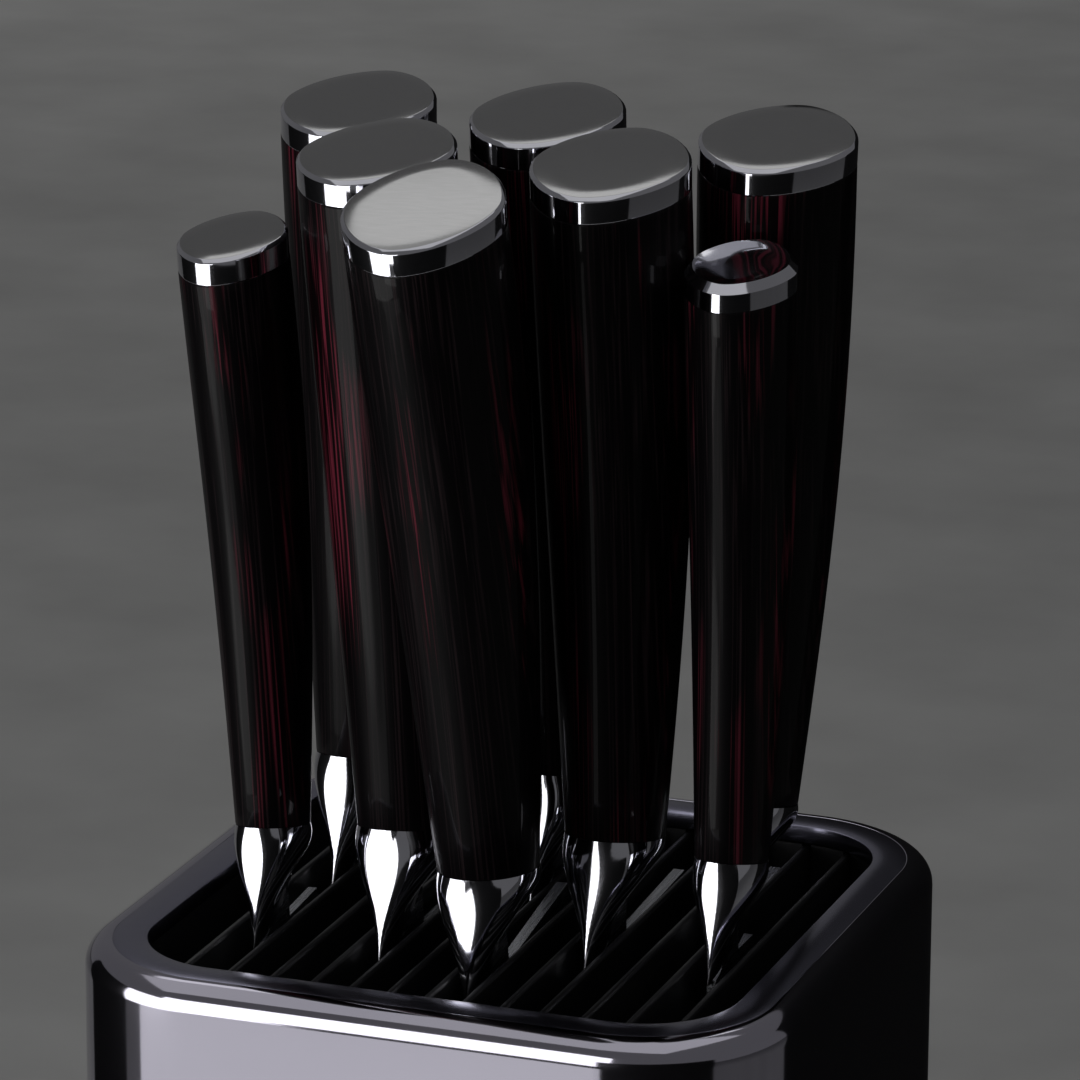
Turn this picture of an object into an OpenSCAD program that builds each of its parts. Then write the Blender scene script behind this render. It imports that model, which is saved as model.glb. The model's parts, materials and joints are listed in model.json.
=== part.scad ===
// Slatted knife block with eight knives standing in it.
// Z is up, the origin is on the table under the middle of the block, and the front is -Y.

/* [Housing] */
// Outer width and depth of the square housing
housing_w = 120; // [112:1:150]
// Height of the block from the table to the top of the rim
block_h = 230; // [224:1:276]
// Outer radius of the housing's upright corners
housing_r = 26; // [22:1:32]
// Thickness of the housing's sheet steel
housing_t = 1.5; // [1.2:0.1:2]
// Radius of the housing's rounded top edge
shoulder_r = 4.3; // [3.5:0.1:5.5]
// Width of the inward flange under the rim
flange_w = 3.6; // [3:0.1:4.5]

/* [Rim] */
// Width of the flat face of the rim frame
rim_w = 5.7; // [5:0.1:7]
// Thickness of the rim's flat face
rim_t = 1.5; // [1:0.1:2]
// Thickness of the rim's downward skirt
skirt_t = 1.6; // [1.2:0.1:2]

/* [Slats] */
// Distance between the middle slats
slat_pitch = 6.35; // [6:0.05:7]
// Free width between the last slat and the side of the opening
side_gap = 7.7; // [6:0.1:9]
// Thickness of a slat
slat_t = 1.4; // [1:0.1:1.8]
// Height of a slat
slat_h = 24; // [18:1:32]
// Depth of the slats' top edges below the rim
slat_drop = 3.4; // [3.2:0.1:5]
// How far a slat's end goes into its groove
groove_depth = 4; // [3:0.5:5]

/* [Base] */
// Thickness of the base plate
base_t = 3; // [2:0.5:5]
// Height of the rubber feet
foot_h = 3; // [2:0.5:5]
// Radius of the rubber feet
foot_r = 7; // [6:0.5:9]
// Distance of the feet's centres from the housing's sides
foot_inset = 20; // [16:1:26]
// Radius of the foot screws' shanks
screw_r = 1.6; // [1.2:0.1:2]

/* [Knives] */
// Height of the joint between bolster and handle above the rim
neck_rise = 11.6; // [10:0.2:16]
// Thickness of the large knives' blades
large_blade_t = 2; // [1.6:0.1:2.4]
// Thickness of the small knives' blades
small_blade_t = 1.6; // [1.2:0.1:2]
// Length of the large knives' wooden grips
large_grip_len = 108.3; // [95:0.1:130]
// Length of the small knives' wooden grips
small_grip_len = 94.6; // [80:0.1:114]
// Thickness of the steel end caps
cap_t = 4.2; // [3:0.1:6]
// Angle of the end caps' sloping faces, lower at the front
cap_slope = 9.5; // [0:0.5:15]
// Angle of the joint between bolster and grip, higher at the front
neck_slope = 12; // [0:0.5:16]
// Width of the tang inside the grip
tang_w = 9; // [6:0.5:10]
// Distance of the tang in front of the grip's axis
tang_forward = 2; // [0:0.5:3]

/* [Hidden] */
$fn = 48;

// Clearance round pieces that slide into one another
fit = 0.1;
// Gap between a fixed piece and the sheet steel beside it
wall_gap = 0.3;

opening_w = housing_w - 2 * (shoulder_r + rim_w);
opening_r = max(3, housing_r - shoulder_r - rim_w);
inner_w = housing_w - 2 * housing_t;
inner_r = housing_r - housing_t;
slat_top = block_h - slat_drop;
slat_bottom = slat_top - slat_h;
slats_a_side = 6;
carrier_w = inner_w - 2 * wall_gap;
carrier_r = inner_r - wall_gap;
carrier_opening_w = opening_w + 1.2;
carrier_floor_t = 2;
base_top = foot_h + base_t;
foot_x = housing_w / 2 - foot_inset;

// Slats stand closer together in the middle of the block than at its sides
last_slat_x = opening_w / 2 - side_gap - slat_t / 2;
slat_spread = (last_slat_x - slat_pitch * slats_a_side) / pow(slats_a_side, 3);
function slat_x(i) = slat_pitch * i + slat_spread * pow(i, 3);
// Slots are counted outwards from the middle slat, left ones below zero
function slot_x(s) = sign(s) * (slat_x(abs(s) - 1) + slat_x(abs(s))) / 2;

// Half the length of a slat at x, so that its ends go into the carrier's grooves
function corner_y(x, w, r) = abs(x) <= w / 2 - r ? w / 2
    : w / 2 - r + sqrt(pow(r, 2) - pow(abs(x) - w / 2 + r, 2));
function slat_half_len(x) =
    corner_y(abs(x) + slat_t / 2, carrier_opening_w, opening_r + 0.6) + groove_depth;

// Sizes of a grip: length, neck width and depth, butt width and depth, bolster depth, how far
// the bolster's point stands in front of the axis, how far its back reaches, blade thickness
LARGE = [large_grip_len, 16, 20, 26, 31, 19, 14, 8, large_blade_t];
SMALL = [small_grip_len, 11.6, 15.6, 18, 22.5, 17.5, 9.5, 6, small_blade_t];

// name, slot, offset to the right and lean to the right as shares of the blade's play in the
// slot, with the place along the slot between them, lean to the back in degrees, grip,
// blade length, blade width, place of the tip across the blade, roundness of the spine
KNIVES = [
    ["utility", -6, 0.21, -12, -0.3, -0.5, SMALL, 125, 24, 0.25, 8],
    ["slicing", -6, 0, 28, -0.04, 0, LARGE, 185, 30, 0.2, 8],
    ["santoku", -3, 0.09, -5, -0.37, 0.5, LARGE, 170, 45, 0.75, 3],
    ["chef", 1, 0.17, -19.5, -0.42, -7.2, LARGE, 195, 45, 0.3, 8],
    ["carving", -1, 0, 31, -0.2, 0, LARGE, 195, 30, 0.35, 6],
    ["nakiri", 3, 0, 3, -0.05, -1.4, LARGE, 160, 46, 0.92, 5],
    ["bread", 5, 0, 27.5, 0.18, 0, LARGE, 195, 31, 0.7, 4],
    ["paring", 6, 0, -2, 0, 0.4, SMALL, 90, 19, 0.3, 8]
];
PIECES = ["blade", "bolster", "grip", "cap"];
SLATS = [for (i = [-slats_a_side:slats_a_side]) i];
FEET = [["left", -1], ["right", 1]];

function slat_name(i) = i == 0 ? "slat_middle"
    : str("slat_", i < 0 ? "left_" : "right_", abs(i));

// ---- block ----

module rounded_square(w, r) {
    square([w, w - 2 * r], center = true);
    square([w - 2 * r, w], center = true);
    for (x = [-1, 1], y = [-1, 1]) translate([x, y] * (w / 2 - r)) circle(r);
}

// Sheet of the housing in section: x is the depth behind the outer face
module housing_section() {
    lap = 0.7;
    translate([0, foot_h]) square([housing_t, block_h - shoulder_r - foot_h]);
    translate([shoulder_r, block_h - shoulder_r]) intersection() {
        difference() {
            circle(shoulder_r);
            circle(shoulder_r - housing_t);
        }
        translate([-shoulder_r, 0]) square(shoulder_r);
    }
    translate([shoulder_r, block_h - rim_t - housing_t]) {
        translate([-lap, 0]) square([lap + flange_w, housing_t]);
        translate([-lap, 0]) square([lap, rim_t + housing_t - 0.2]);
    }
}

module housing_shell() {
    straight = housing_w - 2 * housing_r;
    color("lightslategray")
    for (a = [0:90:270]) rotate(a) {
        translate([-straight / 2, -housing_w / 2, 0]) rotate([90, 0, 90])
            linear_extrude(straight) housing_section();
        translate([housing_w / 2 - housing_r, housing_r - housing_w / 2, 0])
            rotate([0, 0, -90]) rotate_extrude(angle = 90)
                translate([housing_r, 0]) mirror([1, 0]) housing_section();
    }
}

module rim_frame() {
    outer = housing_w - 2 * shoulder_r - 2 * fit;
    skirt = opening_w + 2 * skirt_t;
    color("dimgray") {
        translate([0, 0, block_h - rim_t]) linear_extrude(rim_t) difference() {
            rounded_square(outer, housing_r - shoulder_r - fit);
            rounded_square(opening_w, opening_r);
        }
        translate([0, 0, block_h - rim_t - housing_t]) linear_extrude(housing_t + 0.01)
            difference() {
                rounded_square(skirt, opening_r + skirt_t);
                rounded_square(opening_w, opening_r);
            }
    }
}

// Ring that holds the slats' ends in grooves, from which the four carrier pieces are cut
module carrier_ring() {
    difference() {
        translate([0, 0, slat_bottom - carrier_floor_t])
            linear_extrude(slat_h + carrier_floor_t) difference() {
                rounded_square(carrier_w, carrier_r);
                rounded_square(carrier_opening_w, opening_r + 0.6);
            }
        for (i = SLATS) {
            x = sign(i) * slat_x(abs(i));
            groove = [slat_t + 2 * fit, 2 * (slat_half_len(x) + fit), slat_h + 1];
            translate([x - groove[0] / 2, -groove[1] / 2, slat_bottom - fit]) cube(groove);
        }
    }
}

module carrier_end(turn) {
    split = carrier_w / 2 - carrier_r;
    color("#202022") intersection() {
        carrier_ring();
        rotate(turn) translate([-carrier_w / 2, -carrier_w / 2, 0])
            cube([carrier_w, carrier_w / 2 - split - fit, block_h]);
    }
}

module carrier_side(turn) {
    split = carrier_w / 2 - carrier_r;
    color("#202022") intersection() {
        carrier_ring();
        rotate(turn) translate([0, -split, 0]) cube([carrier_w / 2, 2 * split, block_h]);
    }
}

module carrier_front() { carrier_end(0); }
module carrier_rear() { carrier_end(180); }
module carrier_left() { carrier_side(180); }
module carrier_right() { carrier_side(0); }

// Four angle brackets welded inside the housing, on which the carrier rests
module carrier_brackets() {
    bracket = [24, 7, 12];
    leaf_t = 1.5;
    top = slat_bottom - carrier_floor_t;
    color("silver") for (a = [0:90:270]) rotate(a)
        translate([-bracket[0] / 2, -inner_w / 2, top - bracket[2]]) {
            cube([bracket[0], leaf_t, bracket[2]]);
            translate([0, 0, bracket[2] - leaf_t]) cube([bracket[0], bracket[1], leaf_t]);
        }
}

module slat(i) {
    x = sign(i) * slat_x(abs(i));
    half = slat_half_len(x);
    color("#141416") translate([x - slat_t / 2, -half, slat_bottom])
        cube([slat_t, 2 * half, slat_h]);
}

boss_r = 4;
boss_h = 7;

module base_plate() {
    color("#26262a") difference() {
        union() {
            translate([0, 0, foot_h]) linear_extrude(base_t)
                rounded_square(inner_w - 2 * fit, inner_r - fit);
            for (x = [-1, 1], y = [-1, 1])
                translate([x * foot_x, y * foot_x, base_top - 0.01]) cylinder(boss_h, r = boss_r);
        }
        for (x = [-1, 1], y = [-1, 1])
            translate([x * foot_x, y * foot_x, foot_h - 1])
                cylinder(base_t + boss_h - 1, r = screw_r);
    }
}

screw_head_h = 1.4;
screw_head_r = 3;

module foot(x, y) {
    color("#101012") translate([x * foot_x, y * foot_x, 0]) difference() {
        cylinder(foot_h, r = foot_r);
        translate([0, 0, -1]) cylinder(foot_h + 2, r = screw_r + fit);
        translate([0, 0, -1]) cylinder(1 + foot_h - 0.8, r = screw_head_r + 0.3);
    }
}

module foot_screws() {
    seat = foot_h - 0.8;
    color("silver") for (x = [-1, 1], y = [-1, 1])
        translate([x * foot_x, y * foot_x, seat - screw_head_h]) {
            cylinder(screw_head_h, r = screw_head_r);
            cylinder(screw_head_h + base_t + boss_h - 3, r = screw_r);
        }
}

// ---- knives ----
// A knife's own origin is on the axis of its grip, at the joint with the bolster. Its blade
// points down, with the spine at the front.

ring_sides = 24;
ring_power = 1.9;
function blend(a, b, t) = a + (b - a) * t;
function bulge(v) = sign(v) * pow(abs(v), 2 / ring_power);
function ring_x(i) = bulge(cos(i * 360 / ring_sides - 90));
function ring_y(i) = bulge(sin(i * 360 / ring_sides - 90));

// Closed solid through rings of points, with flat strips across its ends
module loft(rings) {
    n = ring_sides;
    last = (len(rings) - 1) * n;
    walls = [for (k = [0:len(rings) - 2]) for (i = [0:n - 1])
        let (a = k * n + i, b = k * n + (i + 1) % n)
        each [[a, a + n, b + n], [a, b + n, b]]];
    ends = [for (i = [0:n / 2 - 1])
        let (left = (n - i) % n, left_next = n - i - 1)
        each i == 0 ? [[0, 1, left_next], [last, last + left_next, last + 1]]
            : i == n / 2 - 1 ? [[i, i + 1, left], [last + i, last + left, last + i + 1]]
            : [[i, i + 1, left_next, left],
               [last + i, last + left, last + left_next, last + i + 1]]];
    polyhedron([for (r = rings) each r], concat(walls, ends));
}

// Heights of the two sloping joints over a point y in front of or behind the axis
function neck_z(y) = -y * tan(neck_slope);
function butt_z(g, y) = g[0] + y * tan(cap_slope);

// Width grows faster near the neck, and the back of the grip swells while its front is hollow
grip_belly = 2.6;
function grip_ring(g, t) = [for (i = [0:ring_sides - 1])
    let (w = blend(g[1], g[3], sin(90 * t)),
         d = blend(g[2], g[4], sin(90 * t)),
         y = d / 2 * ring_y(i) + grip_belly * sin(180 * t))
    [w / 2 * ring_x(i), y, blend(neck_z(y), butt_z(g, y), t)]];

// Under side of the bolster: lowest at the point in front, rising to the back
heel_rise = 11.5;
function bolster_under(g, y) =
    -g[5] + heel_rise * pow(max(0, (y + g[6]) / (g[6] + g[7])), 1.4);
wall_over_tang = 0.6;
function bolster_ring(g, s) = [for (i = [0:ring_sides - 1])
    let (thin = min(1, max(0, (s - 0.15) / 0.65)),
         w = blend(g[1], g[8] + 2 * wall_over_tang, pow(thin, 1.1)),
         front = blend(g[2] / 2, g[6], pow(s, 1.2)),
         back = blend(g[2] / 2, g[7], s),
         y = (back - front) / 2 + (back + front) / 2 * ring_y(i))
    [w / 2 * ring_x(i), y, blend(neck_z(y), bolster_under(g, y), s)]];

module tang_space(g, top) {
    w = tang_w + 2 * fit;
    t = g[8] + 2 * fit;
    translate([-t / 2, -tang_forward - w / 2, -g[5] - 5]) cube([t, w, top + g[5] + 5]);
}

function tang_top(g) = g[0] - 14;

// Outline of blade and tang in one, with y forward to back and z up
blade_seam = 0.1;
heel_gap = 1.5;
function under_points(g, from, to) = [for (j = [0:5])
    let (y = blend(from, to, j / 5)) [y, bolster_under(g, y) - blade_seam]];
module blade_outline(k) {
    g = k[6];
    spine = -g[6];
    edge = spine + k[8];
    heel = -g[5] + heel_gap;
    tip = [spine + k[9] * k[8], -g[5] - k[7]];
    tang_front = -tang_forward - tang_w / 2;
    tang_back = tang_front + tang_w;
    cutting = [for (j = [0:12])
        let (u = j / 12) [blend(edge, tip[0], pow(u, 5)), blend(heel, tip[1], u)]];
    back = [for (j = [11:-1:1])
        let (u = j / 12) [blend(spine, tip[0], pow(u, k[10])), blend(-g[5] - 1, tip[1], u)]];
    polygon(concat(under_points(g, spine, tang_front), [[tang_front, tang_top(g)],
        [tang_back, tang_top(g)], [tang_back, heel - 0.8]], cutting, back));
}

module blade(k) {
    color("#c4c8cc") rotate([90, 0, 90]) linear_extrude(k[6][8], center = true)
        blade_outline(k);
}

module bolster(k) {
    color("#e0e0e4") difference() {
        loft([for (j = [10:-1:0]) bolster_ring(k[6], j / 10)]);
        tang_space(k[6], 10);
    }
}

module grip(k) {
    color("#2a0e12") difference() {
        loft([for (j = [0:14]) grip_ring(k[6], j / 14)]);
        tang_space(k[6], tang_top(k[6]) + 2 * fit);
    }
}

cap_bevel = 0.8;
function cap_ring(g, up, inset) = [for (p = grip_ring(g, 1))
    let (s = 1 - 2 * inset / g[3]) [p[0] * s, p[1] * s, butt_z(g, p[1] * s) + up]];

module cap(k) {
    color("#b8b8bc") loft([cap_ring(k[6], 0, 0), cap_ring(k[6], cap_t - cap_bevel, 0),
                           cap_ring(k[6], cap_t, cap_bevel)]);
}

// A knife leans about the middle height of the slats, as far as the play in its slot lets it
function play(k) = slat_x(abs(k[1])) - slat_x(abs(k[1]) - 1) - slat_t - k[6][8];
module in_place(k) {
    slant = k[4] * play(k) / slat_h;
    x = slot_x(k[1]) + k[2] * play(k) + slant * (neck_rise + slat_drop + slat_h / 2);
    translate([x, k[3], block_h + neck_rise]) rotate([-k[5], atan(slant), 0]) children();
}

housing_shell();
rim_frame();
carrier_front();
carrier_rear();
carrier_left();
carrier_right();
carrier_brackets();
base_plate();
foot_screws();
for (f = FEET) {
    foot(f[1], -1);
    foot(f[1], 1);
}
for (i = SLATS) {
    slat(i);
}
for (k = KNIVES) {
    in_place(k) blade(k);
    in_place(k) bolster(k);
    in_place(k) grip(k);
    in_place(k) cap(k);
}
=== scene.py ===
import json
import math

import bpy
from mathutils import Euler, Matrix, Vector


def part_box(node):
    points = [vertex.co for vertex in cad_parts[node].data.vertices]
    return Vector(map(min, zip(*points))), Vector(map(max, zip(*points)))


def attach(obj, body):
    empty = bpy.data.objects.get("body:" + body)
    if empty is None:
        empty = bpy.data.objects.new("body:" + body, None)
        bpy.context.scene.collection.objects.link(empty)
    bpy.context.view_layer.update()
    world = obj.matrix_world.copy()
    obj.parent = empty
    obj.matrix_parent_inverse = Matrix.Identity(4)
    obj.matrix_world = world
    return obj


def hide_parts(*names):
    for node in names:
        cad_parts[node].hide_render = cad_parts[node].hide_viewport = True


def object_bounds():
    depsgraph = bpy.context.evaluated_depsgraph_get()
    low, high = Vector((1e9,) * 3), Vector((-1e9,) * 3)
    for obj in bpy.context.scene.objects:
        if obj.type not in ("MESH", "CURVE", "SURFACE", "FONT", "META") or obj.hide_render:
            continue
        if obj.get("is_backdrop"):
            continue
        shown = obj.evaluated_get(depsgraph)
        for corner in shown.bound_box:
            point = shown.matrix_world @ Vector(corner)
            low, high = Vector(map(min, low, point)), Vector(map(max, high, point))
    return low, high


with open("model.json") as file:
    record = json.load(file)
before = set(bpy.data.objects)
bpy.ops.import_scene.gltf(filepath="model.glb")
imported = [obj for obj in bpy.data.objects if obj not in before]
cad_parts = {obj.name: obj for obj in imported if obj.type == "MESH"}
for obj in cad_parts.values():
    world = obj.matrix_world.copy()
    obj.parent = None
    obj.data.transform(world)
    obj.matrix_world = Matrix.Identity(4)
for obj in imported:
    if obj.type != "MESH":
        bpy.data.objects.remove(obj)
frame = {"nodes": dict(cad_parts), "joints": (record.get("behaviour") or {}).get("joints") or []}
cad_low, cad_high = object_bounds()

# ---- Base plate -------------------------------------------------------------------------------
# A moulded plate of black glass-filled nylon closes the block from below. It carries the screw
# bosses for the feet and is pushed into the housing from underneath.


def colour(code):
    """Linear colour of an sRGB hex code."""
    parts = [int(code[i : i + 2], 16) / 255 for i in (1, 3, 5)]
    return [p / 12.92 if p <= 0.04045 else ((p + 0.055) / 1.055) ** 2.4 for p in parts] + [1]


def add(material, kind, settings=None, links=None):
    """A new node in the material, with its settings and what its inputs are linked to."""
    node = material.node_tree.nodes.new(kind)
    for name, value in (settings or {}).items():
        if name in node.inputs:
            node.inputs[name].default_value = value
        else:
            setattr(node, name, value)
    for name, socket in (links or {}).items():
        material.node_tree.links.new(socket, node.inputs[name])
    return node


def new_finish(name):
    """An empty material and the socket its shader goes to."""
    material = bpy.data.materials.new(name)
    material.use_nodes = True
    material.node_tree.nodes.clear()
    return material, add(material, "ShaderNodeOutputMaterial").inputs["Surface"]


def coat_piece(piece, *materials):
    """Gives a piece these materials in place of its old ones."""
    piece.data.materials.clear()
    for material in materials:
        piece.data.materials.append(material)


# Glass-filled nylon, moulded in a spark-eroded tool: an even, dull, slightly pebbled black.
nylon, surface = new_finish("moulded_nylon")
place = add(nylon, "ShaderNodeTexCoord").outputs["Object"]
pebble_mm = 0.5
pebble = add(nylon, "ShaderNodeTexNoise", {"Scale": 1000 / pebble_mm, "Detail": 2}, {"Vector": place})
shade = add(nylon, "ShaderNodeValToRGB", links={"Fac": pebble.outputs["Fac"]})
shade.color_ramp.elements[0].color = colour("#101012")
shade.color_ramp.elements[1].color = colour("#1c1c1f")
relief = add(
    nylon, "ShaderNodeBump", {"Strength": 0.25, "Distance": 0.0001}, {"Height": pebble.outputs["Fac"]}
)
shader = add(
    nylon,
    "ShaderNodeBsdfPrincipled",
    {"Roughness": 0.5, "IOR": 1.53},
    {"Base Color": shade.outputs["Color"], "Normal": relief.outputs["Normal"]},
)
nylon.node_tree.links.new(shader.outputs["BSDF"], surface)
coat_piece(frame["nodes"]["base_plate"], nylon)

# ---- Feet and their screws --------------------------------------------------------------------
# Four rubber discs hold the block off the table. Each is recessed for a zinc plated screw that
# holds it to the base plate. The angle brackets inside the housing are plated the same way.

# Soft rubber, pressed in a turned mould: matt black, with a faint grey bloom.
rubber, surface = new_finish("pressed_rubber")
place = add(rubber, "ShaderNodeTexCoord").outputs["Object"]
bloom_mm = 3
bloom = add(rubber, "ShaderNodeTexNoise", {"Scale": 1000 / bloom_mm, "Detail": 5}, {"Vector": place})
shade = add(rubber, "ShaderNodeValToRGB", links={"Fac": bloom.outputs["Fac"]})
shade.color_ramp.elements[0].color = colour("#0f0f10")
shade.color_ramp.elements[1].color = colour("#252526")
shader = add(
    rubber,
    "ShaderNodeBsdfPrincipled",
    {"Roughness": 0.75, "IOR": 1.52},
    {"Base Color": shade.outputs["Color"]},
)
rubber.node_tree.links.new(shader.outputs["BSDF"], surface)
for name in ("foot_front_left", "foot_front_right", "foot_rear_left", "foot_rear_right"):
    coat_piece(frame["nodes"][name], rubber)

# Zinc plated steel, tumbled: a pale, faintly clouded metal.
zinc, surface = new_finish("zinc_plated_steel")
place = add(zinc, "ShaderNodeTexCoord").outputs["Object"]
cloud_mm = 2
cloud = add(zinc, "ShaderNodeTexNoise", {"Scale": 1000 / cloud_mm, "Detail": 4}, {"Vector": place})
shade = add(zinc, "ShaderNodeValToRGB", links={"Fac": cloud.outputs["Fac"]})
shade.color_ramp.elements[0].color = colour("#9a9ca0")
shade.color_ramp.elements[1].color = colour("#c4c6c8")
shader = add(
    zinc,
    "ShaderNodeBsdfPrincipled",
    {"Metallic": 1, "Roughness": 0.38},
    {"Base Color": shade.outputs["Color"]},
)
zinc.node_tree.links.new(shader.outputs["BSDF"], surface)
coat_piece(frame["nodes"]["foot_screws"], zinc)
coat_piece(frame["nodes"]["carrier_brackets"], zinc)

# ---- Housing ----------------------------------------------------------------------------------
# A square sleeve of stainless sheet with generous upright corners. Its top edge is rolled over
# into a shoulder and folded in to a ledge that the rim frame lies on.


def start_piece(name, add_primitive, **settings):
    """A new piece from a primitive, as the only selected object."""
    bpy.ops.object.select_all(action="DESELECT")
    add_primitive(**settings)
    piece = bpy.context.object
    piece.name = piece.data.name = name
    bpy.ops.object.transform_apply(location=True, rotation=True, scale=True)
    return piece


def pick(piece, domain, test):
    """Selects, in edit mode, just the vertices, edges or faces that pass the test."""
    bpy.ops.object.mode_set(mode="EDIT")
    bpy.ops.mesh.select_mode(type={"vertices": "VERT", "edges": "EDGE", "polygons": "FACE"}[domain])
    bpy.ops.mesh.select_all(action="DESELECT")
    bpy.ops.object.mode_set(mode="OBJECT")
    for part in getattr(piece.data, domain):
        part.select = test(part)
    bpy.ops.object.mode_set(mode="EDIT")


def ends(piece, edge):
    """Places of an edge's two ends."""
    return [piece.data.vertices[i].co for i in edge.vertices]


def apply_modifier(piece, kind, **settings):
    """Adds a modifier with its settings and applies it."""
    modifier = piece.modifiers.new(kind, kind)
    for name, value in settings.items():
        setattr(modifier, name, value)
    bpy.context.view_layer.objects.active = piece
    bpy.ops.object.modifier_apply(modifier=modifier.name)


def ease(piece, width, degrees):
    """Rounds off the edges of a piece that are sharper than this."""
    sharp = math.radians(degrees)
    apply_modifier(piece, "BEVEL", width=width, segments=2, limit_method="ANGLE", angle_limit=sharp)


def smooth(piece, degrees):
    """Shades a piece smooth, apart from edges sharper than this."""
    bpy.ops.object.select_all(action="DESELECT")
    piece.select_set(True)
    bpy.context.view_layer.objects.active = piece
    bpy.ops.object.shade_smooth_by_angle(angle=math.radians(degrees))


def settle(piece, body, slot, *nodes):
    """A finished piece rides its body and stands for its CAD nodes. Its slot is not used."""
    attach(piece, body)
    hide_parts(*nodes)


housing_low, housing_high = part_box("housing_shell")
housing_size = housing_high - housing_low
housing_corner = 0.026
housing_shoulder = 0.0043
sheet_thickness = 0.0015
ledge_drop = 0.0015
ledge_width = 0.0036
lip_width = 0.0002
corner_steps = 28
shoulder_steps = 12
# Places nearer to each other than this count as level.
hair = 1e-5

housing = start_piece(
    "housing",
    bpy.ops.mesh.primitive_cube_add,
    size=1,
    location=(housing_low + housing_high) / 2,
    scale=housing_size,
)
pick(housing, "edges", lambda e: abs(ends(housing, e)[0].z - ends(housing, e)[1].z) > housing_size.z / 2)
bpy.ops.mesh.bevel(offset=housing_corner, segments=corner_steps, affect="EDGES")
pick(housing, "polygons", lambda f: f.normal.z < -0.9)
bpy.ops.mesh.delete(type="ONLY_FACE")
pick(housing, "edges", lambda e: min(p.z for p in ends(housing, e)) > housing_high.z - hair)
bpy.ops.mesh.bevel(offset=housing_shoulder, segments=shoulder_steps, affect="EDGES")
pick(housing, "polygons", lambda f: f.normal.z > 0.999)
bpy.ops.mesh.inset(thickness=lip_width)
bpy.ops.mesh.extrude_region_move(TRANSFORM_OT_translate={"value": (0, 0, -ledge_drop)})
bpy.ops.mesh.inset(thickness=ledge_width)
bpy.ops.mesh.delete(type="FACE")
bpy.ops.object.mode_set(mode="OBJECT")
apply_modifier(housing, "SOLIDIFY", thickness=sheet_thickness, offset=-1, use_even_offset=True)
ease(housing, 0.00015, 40)
smooth(housing, 30)

# Stainless steel, fine bead-blasted then buffed: it mirrors softly, with a cool lavender cast,
# and its gloss wanders a little where it has been wiped.
satin, surface = new_finish("satin_stainless_steel")
place = add(satin, "ShaderNodeTexCoord").outputs["Object"]
grit_mm = 0.35
smear_mm = 45
grit = add(satin, "ShaderNodeTexNoise", {"Scale": 1000 / grit_mm, "Detail": 2}, {"Vector": place})
smear = add(satin, "ShaderNodeTexNoise", {"Scale": 1000 / smear_mm, "Detail": 4}, {"Vector": place})
gloss = add(
    satin,
    "ShaderNodeMapRange",
    {"From Min": 0.3, "From Max": 0.7, "To Min": 0.07, "To Max": 0.11},
    {"Value": smear.outputs["Fac"]},
)
shade = add(satin, "ShaderNodeValToRGB", links={"Fac": smear.outputs["Fac"]})
shade.color_ramp.elements[0].color = colour("#aeabb8")
shade.color_ramp.elements[1].color = colour("#b9b6c2")
relief = add(
    satin, "ShaderNodeBump", {"Strength": 0.03, "Distance": 0.00003}, {"Height": grit.outputs["Fac"]}
)
shader = add(
    satin,
    "ShaderNodeBsdfPrincipled",
    {"Metallic": 1},
    {
        "Base Color": shade.outputs["Color"],
        "Roughness": gloss.outputs["Result"],
        "Normal": relief.outputs["Normal"],
    },
)
satin.node_tree.links.new(shader.outputs["BSDF"], surface)
coat_piece(housing, satin)
settle(housing, "block", "housing_steel", "housing_shell")

# ---- Carrier ----------------------------------------------------------------------------------
# Four mouldings of the same black nylon form a ring under the rim. The front and rear ones have
# a groove for every slat.
for name in ("carrier_front", "carrier_rear", "carrier_left", "carrier_right"):
    coat_piece(frame["nodes"][name], nylon)

# ---- Slats ------------------------------------------------------------------------------------
# Thirteen thin strips of black ABS stand on edge in the carrier's grooves, closer together in
# the middle. Their top edges are rounded so that a blade doesn't catch on them.

# Black ABS, moulded in a polished tool: deep black with a soft shine that picks out the edges.
abs_black, surface = new_finish("moulded_abs")
place = add(abs_black, "ShaderNodeTexCoord").outputs["Object"]
scuff_mm = 6
stretch = add(abs_black, "ShaderNodeMapping", {"Scale": (1, 0.15, 1)}, {"Vector": place})
scuff = add(
    abs_black,
    "ShaderNodeTexNoise",
    {"Scale": 1000 / scuff_mm, "Detail": 6},
    {"Vector": stretch.outputs["Vector"]},
)
gloss = add(
    abs_black,
    "ShaderNodeMapRange",
    {"From Min": 0.35, "From Max": 0.7, "To Min": 0.3, "To Max": 0.46},
    {"Value": scuff.outputs["Fac"]},
)
shade = add(abs_black, "ShaderNodeValToRGB", links={"Fac": scuff.outputs["Fac"]})
shade.color_ramp.elements[0].color = colour("#0b0b0c")
shade.color_ramp.elements[1].color = colour("#141416")
shader = add(
    abs_black,
    "ShaderNodeBsdfPrincipled",
    {"IOR": 1.54},
    {"Base Color": shade.outputs["Color"], "Roughness": gloss.outputs["Result"]},
)
abs_black.node_tree.links.new(shader.outputs["BSDF"], surface)

rounded_share = 0.45
slat_names = ["slat_middle"] + [f"slat_{side}_{i}" for side in ("left", "right") for i in range(1, 7)]
for node in slat_names:
    low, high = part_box(node)
    slat = start_piece(
        node + "_strip", bpy.ops.mesh.primitive_cube_add, size=1, location=(low + high) / 2, scale=high - low
    )
    pick(slat, "edges", lambda e: min(p.z for p in ends(slat, e)) > high.z - hair)
    bpy.ops.mesh.bevel(offset=rounded_share * (high.x - low.x), segments=4, affect="EDGES")
    bpy.ops.object.mode_set(mode="OBJECT")
    smooth(slat, 40)
    coat_piece(slat, abs_black)
    settle(slat, "block", "slat_plastic", node)

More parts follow.
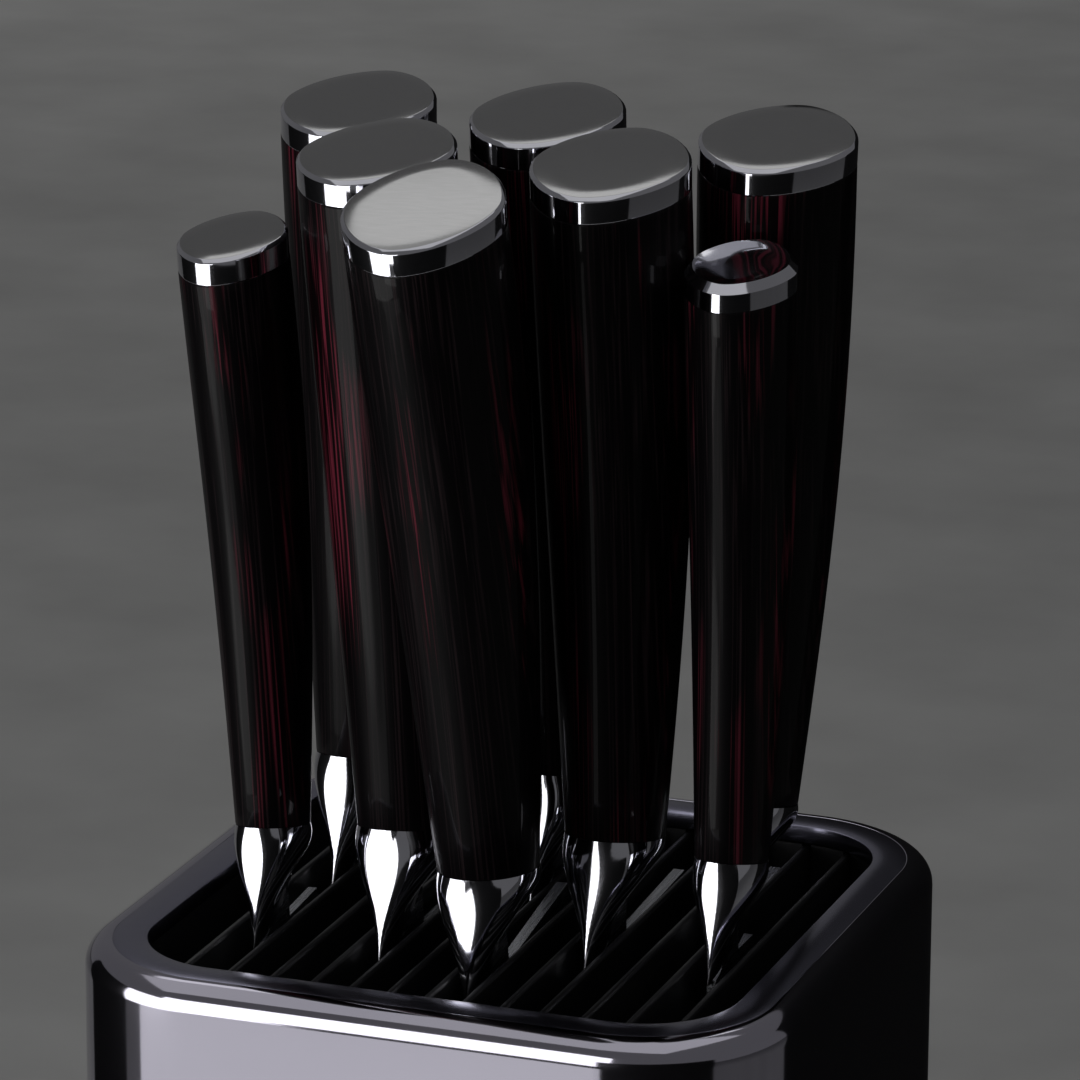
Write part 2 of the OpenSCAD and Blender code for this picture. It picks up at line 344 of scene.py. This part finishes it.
# ---- Rim frame --------------------------------------------------------------------------------
# A flat pressed frame of darker brushed steel lies on the ledge, flush with the shoulder. Its
# skirt hides the folded edge of the sheet and the ends of the slats.
rim_low, rim_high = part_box("rim_frame")
rim_size = rim_high - rim_low
rim_face = 0.0057
rim_sheet = 0.0015
rim_skirt = 0.0016
rim_corner = housing_corner - housing_shoulder


def depth_in(point, half, corner):
    """How far a point lies in from the outline of a rounded square."""
    x, y = abs(point.x) - half + corner, abs(point.y) - half + corner
    return corner - math.hypot(max(x, 0), max(y, 0)) - min(max(x, y), 0)


rim = start_piece(
    "rim",
    bpy.ops.mesh.primitive_cube_add,
    size=1,
    location=(0, 0, rim_high.z - rim_sheet / 2),
    scale=(rim_size.x, rim_size.y, rim_sheet),
)
pick(rim, "edges", lambda e: abs(ends(rim, e)[0].z - ends(rim, e)[1].z) > rim_sheet / 2)
bpy.ops.mesh.bevel(offset=rim_corner, segments=corner_steps, affect="EDGES")
pick(rim, "polygons", lambda f: f.normal.z < -0.9)
bpy.ops.mesh.inset(thickness=rim_face - rim_skirt)
bpy.ops.mesh.inset(thickness=rim_skirt)
pick(rim, "polygons", lambda f: f.normal.z > 0.9)
bpy.ops.mesh.inset(thickness=rim_face)
pick(rim, "polygons", lambda f: abs(f.normal.z) > 0.9 and f.center.xy.length < 0.01)
bpy.ops.mesh.bridge_edge_loops()
skirt_from = rim_face - rim_skirt
pick(
    rim,
    "polygons",
    lambda f: f.normal.z < -0.9
    and depth_in(rim.data.vertices[f.vertices[0]].co, rim_size.x / 2, rim_corner) > skirt_from - hair,
)
bpy.ops.mesh.extrude_region_move(TRANSFORM_OT_translate={"value": (0, 0, rim_low.z - rim_high.z + rim_sheet)})
bpy.ops.object.mode_set(mode="OBJECT")
ease(rim, 0.0002, 40)
smooth(rim, 30)

# Stainless steel, brushed along the block's width and darkened: fine straight lines over slow clouds.
dark_satin, surface = new_finish("darkened_brushed_steel")
place = add(dark_satin, "ShaderNodeTexCoord").outputs["Object"]
brush_mm = 0.3
brush_way = add(dark_satin, "ShaderNodeMapping", {"Scale": (0.04, 1, 1)}, {"Vector": place})
brush = add(
    dark_satin,
    "ShaderNodeTexNoise",
    {"Scale": 1000 / brush_mm, "Detail": 3},
    {"Vector": brush_way.outputs["Vector"]},
)
cloud = add(dark_satin, "ShaderNodeTexNoise", {"Scale": 1000 / smear_mm, "Detail": 3}, {"Vector": place})
shade = add(dark_satin, "ShaderNodeValToRGB", links={"Fac": cloud.outputs["Fac"]})
shade.color_ramp.elements[0].color = colour("#7f7e8f")
shade.color_ramp.elements[1].color = colour("#8c8b9c")
relief = add(
    dark_satin, "ShaderNodeBump", {"Strength": 0.08, "Distance": 0.00005}, {"Height": brush.outputs["Fac"]}
)
shader = add(
    dark_satin,
    "ShaderNodeBsdfPrincipled",
    {"Metallic": 1, "Roughness": 0.24},
    {"Base Color": shade.outputs["Color"], "Normal": relief.outputs["Normal"]},
)
dark_satin.node_tree.links.new(shader.outputs["BSDF"], surface)
coat_piece(rim, dark_satin)
settle(rim, "block", "rim_steel", "rim_frame")

# ---- Where the knives stand -------------------------------------------------------------------
# Every knife hangs by its bolster between two slats, leaning as its slot lets it. A knife's own
# place has its origin at the joint of bolster and grip, Z up the grip and the spine at -Y.
LARGE = {
    "grip": 0.1088, "neck": (0.016, 0.020), "butt": (0.026, 0.031), "bolster": 0.019,
    "front": 0.014, "back": 0.008, "blade": 0.002, "tang_back": 0.0025,
}
SMALL = {
    "grip": 0.0949, "neck": (0.0116, 0.0156), "butt": (0.018, 0.0225), "bolster": 0.0175,
    "front": 0.0095, "back": 0.006, "blade": 0.0016, "tang_back": 0.0025,
}
KNIVES = {
    "utility": SMALL, "slicing": LARGE, "santoku": LARGE, "chef": LARGE,
    "carving": LARGE, "nakiri": LARGE, "bread": LARGE, "paring": SMALL,
}
neck_slope = math.radians(12)
cap_slope = math.radians(8.2)
butt_power = 1.74


def stand(knife):
    """The matrix that takes a knife from its own place to where it stands in the block."""
    joint = next(j for j in frame["joints"] if j["child"] == knife + "_knife")
    x, y, z = joint["axis"]
    turn = Euler((-math.asin(y), math.atan2(x, z), 0)).to_matrix()
    sizes = KNIVES[knife]
    points = [turn.inverted() @ v.co for v in frame["nodes"][knife + "_bolster"].data.vertices]
    middle = (min(p.x for p in points) + max(p.x for p in points)) / 2
    front = min(p.y for p in points)
    foot = min(p.z for p in points)
    neck = turn @ Vector((middle, front + sizes["front"], foot + sizes["bolster"]))
    return Matrix.Translation(neck) @ turn.to_4x4()


def place_knife_part(master, knife, part, slot):
    """A copy of a master part, set down where its knife stands, in place of the CAD node."""
    piece = master.copy()
    piece.data = master.data.copy()
    piece.name = piece.data.name = f"{knife}_{part}_finished"
    bpy.context.scene.collection.objects.link(piece)
    piece.data.transform(stand(knife))
    settle(piece, knife + "_knife", slot, f"{knife}_{part}")
    return piece


# ---- Blades -----------------------------------------------------------------------------------
# Stainless blades with the tang in one piece, cut from sheet. Each is ground to a wedge from a
# line along its side to the cutting edge, and the spine is eased.

# High-carbon stainless steel, ground across the blade: fine upright scratches soften what it mirrors.
ground, surface = new_finish("ground_stainless_steel")
own = add(ground, "ShaderNodeAttribute", {"attribute_name": "own_place"}).outputs["Vector"]
scratch_mm = 0.35
across = add(ground, "ShaderNodeMapping", {"Scale": (1, 0.04, 1)}, {"Vector": own})
scratch = add(
    ground,
    "ShaderNodeTexNoise",
    {"Scale": 1000 / scratch_mm, "Detail": 3},
    {"Vector": across.outputs["Vector"]},
)
shade = add(ground, "ShaderNodeValToRGB", links={"Fac": scratch.outputs["Fac"]})
shade.color_ramp.elements[0].color = colour("#8b8d92")
shade.color_ramp.elements[1].color = colour("#b3b5ba")
gloss = add(
    ground,
    "ShaderNodeMapRange",
    {"From Min": 0.3, "From Max": 0.7, "To Min": 0.2, "To Max": 0.34},
    {"Value": scratch.outputs["Fac"]},
)
relief = add(
    ground, "ShaderNodeBump", {"Strength": 0.1, "Distance": 0.00003}, {"Height": scratch.outputs["Fac"]}
)
shader = add(
    ground,
    "ShaderNodeBsdfPrincipled",
    {"Metallic": 1},
    {
        "Base Color": shade.outputs["Color"],
        "Roughness": gloss.outputs["Result"],
        "Normal": relief.outputs["Normal"],
    },
)
ground.node_tree.links.new(shader.outputs["BSDF"], surface)


def keep_own_place(piece, to_own, shift=Vector((0, 0, 0))):
    """Stores every point's place in its knife, in metres, for patterns that go along with the piece."""
    stored = piece.data.attributes.new("own_place", "FLOAT_VECTOR", "POINT")
    for i, v in enumerate(piece.data.vertices):
        stored.data[i].vector = to_own @ v.co + shift


grind_share = 0.4
edge_share = 0.06
heel_gap = 0.0012


for knife in KNIVES:
    blade = frame["nodes"][knife + "_blade"].copy()
    blade.data = blade.data.copy()
    blade.parent = None
    for key in list(blade.keys()):
        del blade[key]
    blade.name = blade.data.name = knife + "_blade_finished"
    bpy.context.scene.collection.objects.link(blade)
    to_own = stand(knife).inverted()
    blade.data.transform(to_own)
    bpy.ops.object.select_all(action="DESELECT")
    blade.select_set(True)
    bpy.context.view_layer.objects.active = blade
    bpy.ops.object.mode_set(mode="EDIT")
    bpy.ops.mesh.select_all(action="SELECT")
    bpy.ops.mesh.remove_doubles(threshold=1e-6)
    bpy.ops.mesh.dissolve_limited(angle_limit=math.radians(1))
    cutting_edge = max(v.co.y for v in blade.data.vertices)
    depth = cutting_edge + KNIVES[knife]["front"]
    grind = cutting_edge - grind_share * depth
    heel = -KNIVES[knife]["bolster"] + heel_gap
    bpy.ops.mesh.select_all(action="SELECT")
    bpy.ops.mesh.bisect(plane_co=(0, grind, 0), plane_no=(0, 1, 0))
    pick(blade, "vertices", lambda v: v.co.y > grind + hair and v.co.z < heel)
    bpy.ops.transform.resize(value=(edge_share, 1, 1), center_override=(0, 0, 0))
    bpy.ops.object.mode_set(mode="OBJECT")
    ease(blade, 0.00025, 60)
    apply_modifier(blade, "TRIANGULATE")
    smooth(blade, 15)
    blade.data.transform(to_own.inverted())
    keep_own_place(blade, to_own)
    coat_piece(blade, ground)
    settle(blade, knife + "_knife", "blade_steel", knife + "_blade")

# ---- Bolsters ---------------------------------------------------------------------------------
# Forged stainless bolsters, ground to a fang that runs down the spine of the blade, and mirror
# polished. A fine line separates each from its grip.


def loft(name, rings, sides=48):
    """A closed skin through oval rings: each is a middle, tilt, half width and depth, and power.

    A power of 2 makes an ellipse, and a higher one a blunter, squarer oval."""
    bpy.ops.object.select_all(action="DESELECT")
    piece = None
    for middle, tilt, half_width, half_depth, power in rings:
        bpy.ops.mesh.primitive_circle_add(vertices=sides, radius=1, location=middle, rotation=(tilt, 0, 0))
        ring = bpy.context.object
        for v in ring.data.vertices:
            v.co.x = math.copysign(abs(v.co.x) ** (2 / power), v.co.x)
            v.co.y = math.copysign(abs(v.co.y) ** (2 / power), v.co.y)
        ring.scale = (half_width, half_depth, 1)
        bpy.ops.object.transform_apply(location=True, rotation=True, scale=True)
        if piece is None:
            piece = ring
            continue
        ring.select_set(True)
        piece.select_set(True)
        bpy.context.view_layer.objects.active = piece
        bpy.ops.object.join()
        first = len(piece.data.vertices) - 2 * sides
        pick(piece, "vertices", lambda v: v.index >= first)
        bpy.ops.mesh.bridge_edge_loops()
        bpy.ops.object.mode_set(mode="OBJECT")
    pick(piece, "edges", lambda e: False)
    bpy.ops.mesh.select_non_manifold()
    bpy.ops.mesh.edge_face_add()
    bpy.ops.mesh.select_all(action="SELECT")
    bpy.ops.mesh.normals_make_consistent(inside=False)
    bpy.ops.object.mode_set(mode="OBJECT")
    piece.name = piece.data.name = name
    return piece


def between(a, b, t):
    return a + (b - a) * t


# Stainless steel, mirror polished on a felt wheel: sharp reflections, with the faintest waviness.
polished, surface = new_finish("mirror_polished_steel")
place = add(polished, "ShaderNodeTexCoord").outputs["Object"]
wave_mm = 9
wave = add(polished, "ShaderNodeTexNoise", {"Scale": 1000 / wave_mm, "Detail": 2}, {"Vector": place})
shade = add(polished, "ShaderNodeValToRGB", links={"Fac": wave.outputs["Fac"]})
shade.color_ramp.elements[0].color = colour("#c3c3cc")
shade.color_ramp.elements[1].color = colour("#d6d6dc")
relief = add(
    polished, "ShaderNodeBump", {"Strength": 0.05, "Distance": 0.0002}, {"Height": wave.outputs["Fac"]}
)
shader = add(
    polished,
    "ShaderNodeBsdfPrincipled",
    {"Metallic": 1, "Roughness": 0.07},
    {"Base Color": shade.outputs["Color"], "Normal": relief.outputs["Normal"]},
)
polished.node_tree.links.new(shader.outputs["BSDF"], surface)


def bolster_rings(s, steps=22):
    """Rings of a bolster, from the joint with the grip down to the blade.

    It flares to a fang in front, and the last ring draws the fang back in to the spine."""
    half_w, half_d = s["neck"][0] / 2, s["neck"][1] / 2
    reach = s["front"] + s["back"]
    rise_share = 0.52
    rise = rise_share * reach
    thinnest = s["blade"] / 2 + 0.0001
    fang = 0.002
    fang_foot = 0.0008
    rings = []
    for j in range(steps + 1):
        t = j / steps
        slow = t**1.2
        front = between(half_d, s["front"] + fang, t**1.3)
        back = between(half_d, s["back"], t)
        tilt = between(-neck_slope, math.atan2(rise, reach), slow)
        half_width = between(half_w, thinnest, slow * slow * (3 - 2 * slow))
        down = between(0, s["bolster"] - rise / 2, t)
        power = between(2, 3, math.sin(math.pi * t))
        half_depth = (back + front) / 2 / math.cos(tilt)
        rings.append(((0, (back - front) / 2, -down), tilt, half_width, half_depth, power))
    foot = (0, (s["back"] - s["front"]) / 2, rings[-1][0][2] - fang_foot)
    return rings + [(foot, tilt, thinnest, reach / 2 / math.cos(tilt), 2)]


bolster_masters = {}
for kind, sizes in (("large", LARGE), ("small", SMALL)):
    master = loft(kind + "_bolster_master", bolster_rings(sizes))
    smooth(master, 50)
    coat_piece(master, polished)
    bolster_masters[kind] = master
for knife, sizes in KNIVES.items():
    kind = "large" if sizes is LARGE else "small"
    place_knife_part(bolster_masters[kind], knife, "bolster", "bolster_steel")

# ---- Grips ------------------------------------------------------------------------------------
# Grips turned from laminated birch, dyed dark red and black and pressed with resin. The layers lie
# along the blade, so they show as fine lengthwise lines, and the whole is polished to a deep gloss.


def grip_rings(s, steps=16):
    """Rings of a grip from neck to butt, which widens fast at first and swells towards the edge side."""
    belly = 0.0026
    rings = []
    for j in range(steps + 1):
        t = j / steps
        grow = math.sin(t * math.pi / 2)
        width = between(s["neck"][0], s["butt"][0], grow) / 2
        depth = between(s["neck"][1], s["butt"][1], grow) / 2
        tilt = between(-neck_slope, cap_slope, t)
        middle = (0, belly * math.sin(t * math.pi), s["grip"] * t)
        power = between(2, butt_power, t)
        rings.append((middle, tilt, width, depth / math.cos(tilt), power))
    return rings


# Resin-soaked birch veneers, polished: almost black, with hair-thin dark red and grey lines where
# the dyed layers come to the surface, under a soft clear gloss.
wood, surface = new_finish("polished_laminated_birch")
own = add(wood, "ShaderNodeAttribute", {"attribute_name": "own_place"}).outputs["Vector"]
layer_mm = 0.4
depth_mm = 2
streak_mm = 110
layers_way = add(
    wood,
    "ShaderNodeMapping",
    {"Scale": (1000 / layer_mm, 1000 / depth_mm, 1000 / streak_mm)},
    {"Vector": own},
)
layers = add(
    wood,
    "ShaderNodeTexNoise",
    {"Scale": 1, "Detail": 2, "Roughness": 0.5},
    {"Vector": layers_way.outputs["Vector"]},
)
patch_mm = 8
patches_way = add(wood, "ShaderNodeMapping", {"Scale": (1, 1, 0.14)}, {"Vector": own})
patches = add(
    wood,
    "ShaderNodeTexNoise",
    {"Scale": 1000 / patch_mm, "Detail": 2},
    {"Vector": patches_way.outputs["Vector"]},
)
where_red = add(
    wood,
    "ShaderNodeMapRange",
    {"From Min": 0.54, "From Max": 0.7, "To Min": 0, "To Max": 1},
    {"Value": patches.outputs["Fac"]},
)
red_lines = add(wood, "ShaderNodeValToRGB", links={"Fac": layers.outputs["Fac"]})
red_lines.color_ramp.elements[0].position = 0.5
red_lines.color_ramp.elements[0].color = colour("#080304")
red_lines.color_ramp.elements[1].position = 0.68
red_lines.color_ramp.elements[1].color = colour("#5b1e2b")
dark_lines = add(wood, "ShaderNodeValToRGB", links={"Fac": layers.outputs["Fac"]})
dark_lines.color_ramp.elements[0].position = 0.52
dark_lines.color_ramp.elements[0].color = colour("#040304")
dark_lines.color_ramp.elements[1].position = 0.75
dark_lines.color_ramp.elements[1].color = colour("#1f1719")
tone = add(wood, "ShaderNodeMix", {"data_type": "RGBA"})
wood.node_tree.links.new(where_red.outputs["Result"], tone.inputs[0])
wood.node_tree.links.new(dark_lines.outputs["Color"], tone.inputs[6])
wood.node_tree.links.new(red_lines.outputs["Color"], tone.inputs[7])
relief = add(
    wood, "ShaderNodeBump", {"Strength": 0.06, "Distance": 0.00005}, {"Height": layers.outputs["Fac"]}
)
shader = add(
    wood,
    "ShaderNodeBsdfPrincipled",
    {"Roughness": 0.45, "IOR": 1.5, "Specular IOR Level": 0.05, "Coat Weight": 0.12, "Coat Roughness": 0.06},
    {"Base Color": tone.outputs[2], "Normal": relief.outputs["Normal"]},
)
wood.node_tree.links.new(shader.outputs["BSDF"], surface)

grip_masters = {}
for kind, sizes in (("large", LARGE), ("small", SMALL)):
    master = loft(kind + "_grip_master", grip_rings(sizes))
    ease(master, 0.00025, 50)
    smooth(master, 50)
    coat_piece(master, wood)
    grip_masters[kind] = master
# Every grip comes from another part of the board, so no two show the same lines.
next_board = Vector((0.013, 0.007, 0.21))
for place_in_row, (knife, sizes) in enumerate(KNIVES.items()):
    kind = "large" if sizes is LARGE else "small"
    grip = place_knife_part(grip_masters[kind], knife, "grip", "grip_wood")
    keep_own_place(grip, stand(knife).inverted(), next_board * place_in_row)

# ---- End caps ---------------------------------------------------------------------------------
# Solid stainless caps close the grips. Their sloping faces are satin ground, and the bevel and the
# wall are mirror polished. The paring knife's is dished and polished all over.

# Stainless steel, ground on a fine belt: an even grey face that mirrors only softly.
satin_face, surface = new_finish("belt_ground_steel")
place = add(satin_face, "ShaderNodeTexCoord").outputs["Object"]
belt_mm = 0.3
belt_way = add(satin_face, "ShaderNodeMapping", {"Scale": (0.08, 1, 1)}, {"Vector": place})
belt = add(
    satin_face,
    "ShaderNodeTexNoise",
    {"Scale": 1000 / belt_mm, "Detail": 3},
    {"Vector": belt_way.outputs["Vector"]},
)
shade = add(satin_face, "ShaderNodeValToRGB", links={"Fac": belt.outputs["Fac"]})
shade.color_ramp.elements[0].color = colour("#959595")
shade.color_ramp.elements[1].color = colour("#a3a3a3")
relief = add(
    satin_face, "ShaderNodeBump", {"Strength": 0.06, "Distance": 0.00003}, {"Height": belt.outputs["Fac"]}
)
shader = add(
    satin_face,
    "ShaderNodeBsdfPrincipled",
    {"Metallic": 1, "Roughness": 0.13},
    {"Base Color": shade.outputs["Color"], "Normal": relief.outputs["Normal"]},
)
satin_face.node_tree.links.new(shader.outputs["BSDF"], surface)

cap_height = 0.0042
cap_bevel = 0.0006
# Height above the grip and distance in from the outline, from the wall over the bevel to the middle
flat_levels = [
    (0, 0), (cap_height - cap_bevel, 0), (cap_height, cap_bevel), (cap_height + 0.0001, 0.004),
]
dished_levels = [
    (0, 0), (0.0029, 0), (0.0042, 0.0013),
    (0.00405, 0.002), (0.0037, 0.0032), (0.00345, 0.0045), (0.00335, 0.006),
]
cap_masters = {}
for kind, s, levels in (
    ("large", LARGE, flat_levels), ("small", SMALL, flat_levels), ("dished", SMALL, dished_levels)
):
    half_w, half_d = s["butt"][0] / 2, s["butt"][1] / 2 / math.cos(cap_slope)
    rings = [
        ((0, 0, s["grip"] + up), cap_slope, half_w - inset, half_d - inset, butt_power)
        for up, inset in levels
    ]
    master = loft(kind + "_cap_master", rings, sides=64)
    coat_piece(master, polished, satin_face)
    face_normal = Vector((0, -math.sin(cap_slope), math.cos(cap_slope)))
    if kind != "dished":
        for face in master.data.polygons:
            face.material_index = 1 if face.normal.dot(face_normal) > 0.98 else 0
        ease(master, 0.00012, 30)
    smooth(master, 22)
    cap_masters[kind] = master
for knife, sizes in KNIVES.items():
    kind = "dished" if knife == "paring" else "large" if sizes is LARGE else "small"
    place_knife_part(cap_masters[kind], knife, "cap", "cap_steel")

for masters in (bolster_masters, grip_masters, cap_masters):
    for master in masters.values():
        bpy.data.objects.remove(master)

# ---- Floor, light and camera ------------------------------------------------------------------
# A floor of mottled grey plaster, soft boxes at the front left, overhead and behind, and a long
# lens that looks down on the knives from the front right.
floor_size = 40
floor = start_piece("floor", bpy.ops.mesh.primitive_plane_add, size=floor_size, location=(0, 0, 0))
plaster, surface = new_finish("mottled_plaster")
place = add(plaster, "ShaderNodeTexCoord").outputs["Object"]
fibre = add(plaster, "ShaderNodeTexNoise", {"Scale": 14, "Detail": 5}, {"Vector": place})
shade = add(plaster, "ShaderNodeValToRGB", links={"Fac": fibre.outputs["Fac"]})
shade.color_ramp.elements[0].color = colour("#868685")
shade.color_ramp.elements[1].color = colour("#a6a6a5")
shader = add(
    plaster,
    "ShaderNodeBsdfPrincipled",
    {"Roughness": 0.8},
    {"Base Color": shade.outputs["Color"]},
)
plaster.node_tree.links.new(shader.outputs["BSDF"], surface)
coat_piece(floor, plaster)
floor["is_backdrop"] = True


def soft_box(name, place, target, width, height, brightness):
    """A rectangular soft light at a place, turned to a target. Its brightness is in W/(sr m2)."""
    bpy.ops.object.light_add(type="AREA", location=place)
    lamp = bpy.context.object
    lamp.name = name
    lamp.data.shape = "RECTANGLE"
    lamp.data.size, lamp.data.size_y = width, height
    lamp.data.energy = math.pi * width * height * brightness
    lamp.rotation_euler = (Vector(target) - Vector(place)).to_track_quat("-Z", "Y").to_euler()
    lamp.visible_camera = False
    return lamp


def stand_panel(name, side, distance, width, bottom, top, brightness):
    """A soft box that stands in front of the block, so many degrees round to the left."""
    way = Vector((-math.sin(math.radians(side)), -math.cos(math.radians(side)), 0))
    middle = Vector((0, 0, (bottom + top) / 2))
    soft_box(name, way * distance + middle, middle, width, top - bottom, brightness)


stand_panel("left_panel", side=44.5, distance=0.5, width=0.42, bottom=0.1, top=0.4, brightness=2.6)
stand_panel("low_panel", side=31, distance=0.5, width=0.46, bottom=0, top=0.1, brightness=0.8)
stand_panel("edge_strip", side=20, distance=0.6, width=0.44, bottom=0.145, top=0.56, brightness=2.6)
overhead = 1.14
soft_box("ceiling", (-0.15, -0.02, overhead), (-0.15, -0.02, 0), width=1.2, height=1.05, brightness=0.44)
soft_box("high_back", (-0.3, 0.73, overhead), (-0.3, 0.73, 0), width=0.7, height=0.42, brightness=0.95)
back_wash = soft_box("back_wash", (-1.5, 2.3, 1.3), (-1, 2.5, 0), width=0.9, height=0.9, brightness=3.4)
back_wash.visible_glossy = False

# Three dark flags, behind on the right, on the left and in front on the right, keep the sides and
# corners of the polished steel deep. Only gloss sees them: they are painted dark reflections.
# A near-black sheet with a faint mottle, seen only in reflections: the painted dark reflection of the flags.
dark_reflection_sheet, surface = new_finish("painted_dark_reflection")
place = add(dark_reflection_sheet, "ShaderNodeTexCoord").outputs["Object"]
sheet_mottle = add(dark_reflection_sheet, "ShaderNodeTexNoise", {"Scale": 400, "Detail": 2}, {"Vector": place})
shade = add(dark_reflection_sheet, "ShaderNodeValToRGB", links={"Fac": sheet_mottle.outputs["Fac"]})
shade.color_ramp.elements[0].color = colour("#030303")
shade.color_ramp.elements[1].color = colour("#0a0a0a")
shader = add(dark_reflection_sheet, "ShaderNodeBsdfPrincipled", {"Roughness": 1}, {"Base Color": shade.outputs["Color"]})
dark_reflection_sheet.node_tree.links.new(shader.outputs["BSDF"], surface)
# Each has its place, how far it is turned about Z, and its size.
flags = {
    "right_flag": ((0.17, 0.42, 0.2), 2.9, 0.6),
    "left_flag": ((-0.5, 0, 0.2), math.pi / 2, 0.4),
    "front_flag": ((0.23, -0.44, -0.06), 0.48, 0.78),
}
for name, (place, turn, size) in flags.items():
    upright = (math.pi / 2, 0, turn)
    flag = start_piece(name, bpy.ops.mesh.primitive_plane_add, size=size, location=place, rotation=upright)
    coat_piece(flag, dark_reflection_sheet)
    flag.visible_camera = flag.visible_diffuse = flag.visible_shadow = False
    flag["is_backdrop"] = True

world = bpy.data.worlds.new("studio")
bpy.context.scene.world = world
world.use_nodes = True
world.node_tree.nodes["Background"].inputs["Color"].default_value = colour("#626263")
world.node_tree.nodes["Background"].inputs["Strength"].default_value = 1

turn_left = math.radians(20.05)
look_down = math.radians(16.24)
roll = math.radians(0.28)
sensor_mm = 36
lens_mm = 208.167
camera_place = Vector((0.3358, -0.9099, rim_high.z + 0.3433))
camera_data = bpy.data.cameras.new("camera")
camera_data.sensor_width = sensor_mm
camera_data.lens = lens_mm
camera = bpy.data.objects.new("camera", camera_data)
bpy.context.scene.collection.objects.link(camera)
camera.location = camera_place
camera.rotation_euler = (
    Matrix.Rotation(turn_left, 3, "Z")
    @ Matrix.Rotation(math.pi / 2 - look_down, 3, "X")
    @ Matrix.Rotation(roll, 3, "Z")
).to_euler()
bpy.context.scene.camera = camera
bpy.context.scene.view_settings.view_transform = "Standard"

low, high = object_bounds()
sizes = {"cad": [list(cad_low), list(cad_high)], "visual": [list(low), list(high)]}
